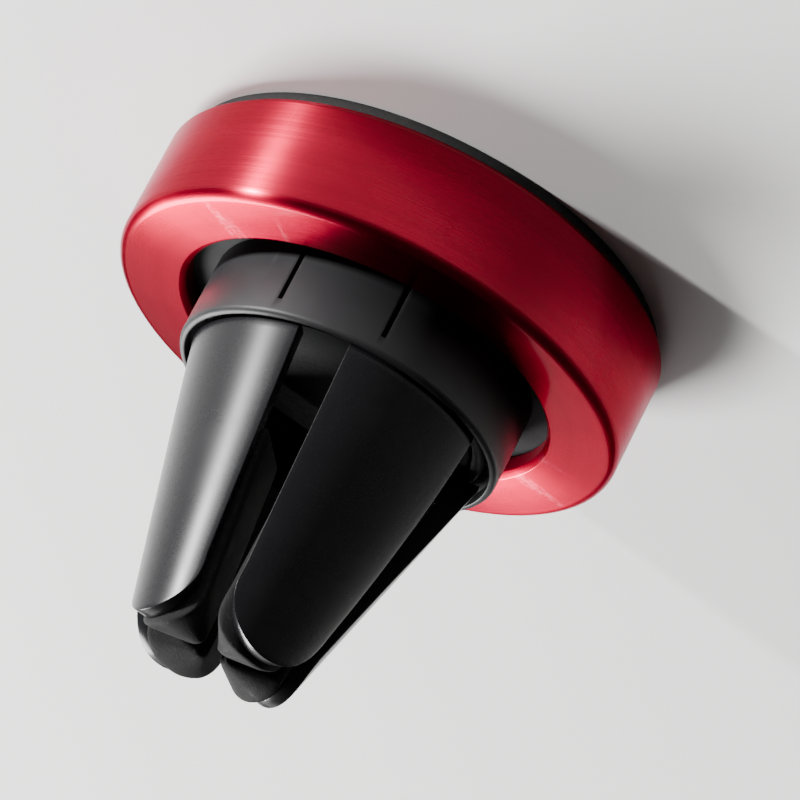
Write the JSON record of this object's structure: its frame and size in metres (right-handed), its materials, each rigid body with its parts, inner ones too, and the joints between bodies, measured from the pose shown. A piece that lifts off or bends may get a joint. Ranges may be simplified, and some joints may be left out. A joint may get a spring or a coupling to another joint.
{
  "type": "car phone mount",
  "caption": "Magnetic phone mount for a car's air vent: round metal head with a rubber face, and a clip of sprung rubber-lined prongs that grips a vent blade.",
  "frame": {"origin": "centre of the rubber pad's contact face, where the phone sticks", "axes": "+Z from the pad through the head to the prongs' tips; the narrow slot opens towards -Y and +Y, the wedge slot towards -X and +X"},
  "size_m": [0.0326, 0.0326, 0.0298],
  "materials": {
    "red_anodised": "glossy red anodising",
    "pad_rubber": "matt black silicone rubber",
    "white_tape": "white foam tape",
    "carrier_plastic": "moulded black plastic",
    "magnet_nickel": "nickel plating",
    "plated_steel": "zinc-plated steel sheet",
    "acetal": "natural acetal",
    "hub_plastic": "moulded black plastic",
    "collar_plastic": "satin black plastic",
    "prong_plastic": "gloss black plastic",
    "lining_rubber": "matt black rubber",
    "elastic_band": "dark grey polyurethane",
    "pin_steel": "ground steel"
  },
  "bodies": {
    "head": {"ring_housing": "red_anodised", "front_pad": "pad_rubber", "pad_tape": "white_tape", "magnet_carrier": "carrier_plastic", "yoke_plate": "plated_steel", "friction_washer": "acetal", "magnet_1": "magnet_nickel", "magnet_2": "magnet_nickel", "magnet_3": "magnet_nickel", "magnet_4": "magnet_nickel", "magnet_5": "magnet_nickel", "magnet_6": "magnet_nickel"},
    "clip": {"clip_hub": "hub_plastic", "collar": "collar_plastic", "closing_band": "elastic_band", "prong_pin_1": "pin_steel", "prong_pin_2": "pin_steel", "prong_pin_3": "pin_steel", "prong_pin_4": "pin_steel"},
    "prong_1": {"prong_shell_1": "prong_plastic", "prong_lining_1": "lining_rubber"},
    "prong_2": {"prong_shell_2": "prong_plastic", "prong_lining_2": "lining_rubber"},
    "prong_3": {"prong_shell_3": "prong_plastic", "prong_lining_3": "lining_rubber"},
    "prong_4": {"prong_shell_4": "prong_plastic", "prong_lining_4": "lining_rubber"}
  },
  "joints": [
    {"name": "clip_swivel", "type": "hinge", "parent": "head", "child": "clip", "pos_m": [0, 0, 0.0061], "axis": [0, 0, 1], "continuous": true},
    {"name": "prong_1_hinge", "type": "hinge", "parent": "clip", "child": "prong_1", "pos_m": [0.00548, 0.00548, 0.0096], "axis": [-0.7071, 0.7071, 0], "range_deg": [0, 5], "stiffness_Nm_per_rad": 0.02, "springref_deg": -17.19},
    {"name": "prong_2_hinge", "type": "hinge", "parent": "clip", "child": "prong_2", "pos_m": [-0.00548, 0.00548, 0.0096], "axis": [-0.7071, -0.7071, 0], "range_deg": [0, 5], "stiffness_Nm_per_rad": 0.02, "springref_deg": -17.19},
    {"name": "prong_3_hinge", "type": "hinge", "parent": "clip", "child": "prong_3", "pos_m": [-0.00548, -0.00548, 0.0096], "axis": [0.7071, -0.7071, 0], "range_deg": [0, 5], "stiffness_Nm_per_rad": 0.02, "springref_deg": -17.19},
    {"name": "prong_4_hinge", "type": "hinge", "parent": "clip", "child": "prong_4", "pos_m": [0.00548, -0.00548, 0.0096], "axis": [0.7071, 0.7071, 0], "range_deg": [0, 5], "stiffness_Nm_per_rad": 0.02, "springref_deg": -17.19}
  ]
}
